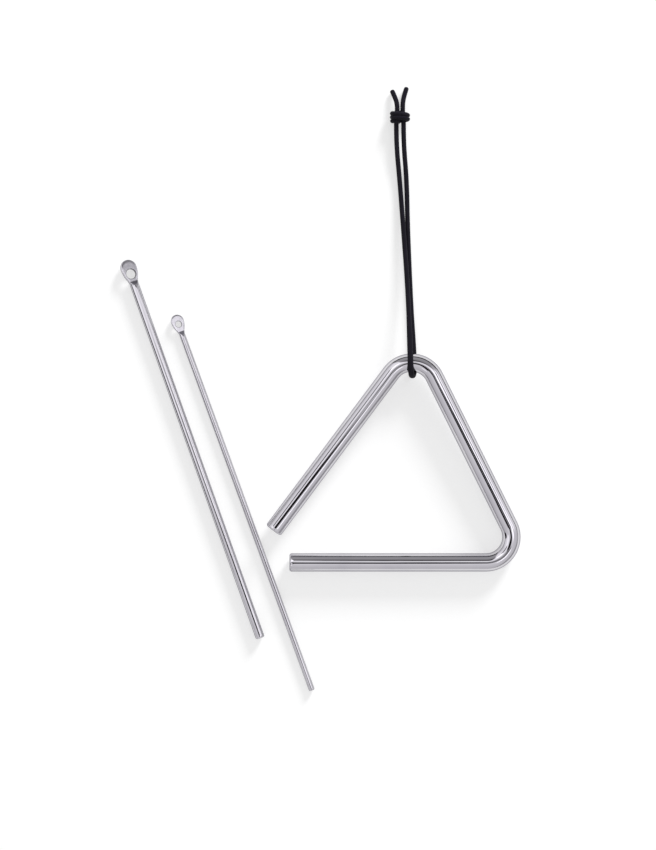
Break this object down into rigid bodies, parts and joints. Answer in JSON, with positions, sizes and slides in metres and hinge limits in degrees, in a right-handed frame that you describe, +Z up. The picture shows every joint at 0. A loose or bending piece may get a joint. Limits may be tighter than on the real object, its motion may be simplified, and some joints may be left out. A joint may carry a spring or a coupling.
{
  "type": "musical triangle with beaters",
  "caption": "Bent round-rod percussion triangle with an open corner, hung from a knotted cord loop, with thick and thin straight beaters that have pressed eyes.",
  "frame": {"origin": "on the table, at the centre of the box round the triangle and the two beaters as they lie in the picture", "axes": "+Z up from the table, +Y from the triangle's lower leg towards its cord, +X towards the closed lower bend"},
  "size_m": [0.2202, 0.3335, 0.0161],
  "materials": {
    "rod_chrome": "polished chrome plate",
    "beater_steel": "bright plated drawn wire",
    "black_cord": "fine round braid"
  },
  "bodies": {
    "triangle": {"triangle_rod": "rod_chrome"},
    "cord": {"hanging_cord": "black_cord", "cord_knot": "black_cord"},
    "thick_beater": {"thick_beater": "beater_steel"},
    "thin_beater": {"thin_beater": "beater_steel"}
  },
  "joints": [
    {"name": "cord_swing", "type": "hinge", "parent": "triangle", "child": "cord", "pos_m": [0.05, 0.06228, 0.008], "axis": [1, 0, 0], "range_deg": [0, 180]},
    {"name": "thick_beater_lift", "type": "slide", "parent": "triangle", "child": "thick_beater", "axis": [0, 0, 1], "range_m": [0, 0.15]},
    {"name": "thin_beater_lift", "type": "slide", "parent": "triangle", "child": "thin_beater", "axis": [0, 0, 1], "range_m": [0, 0.15]}
  ]
}
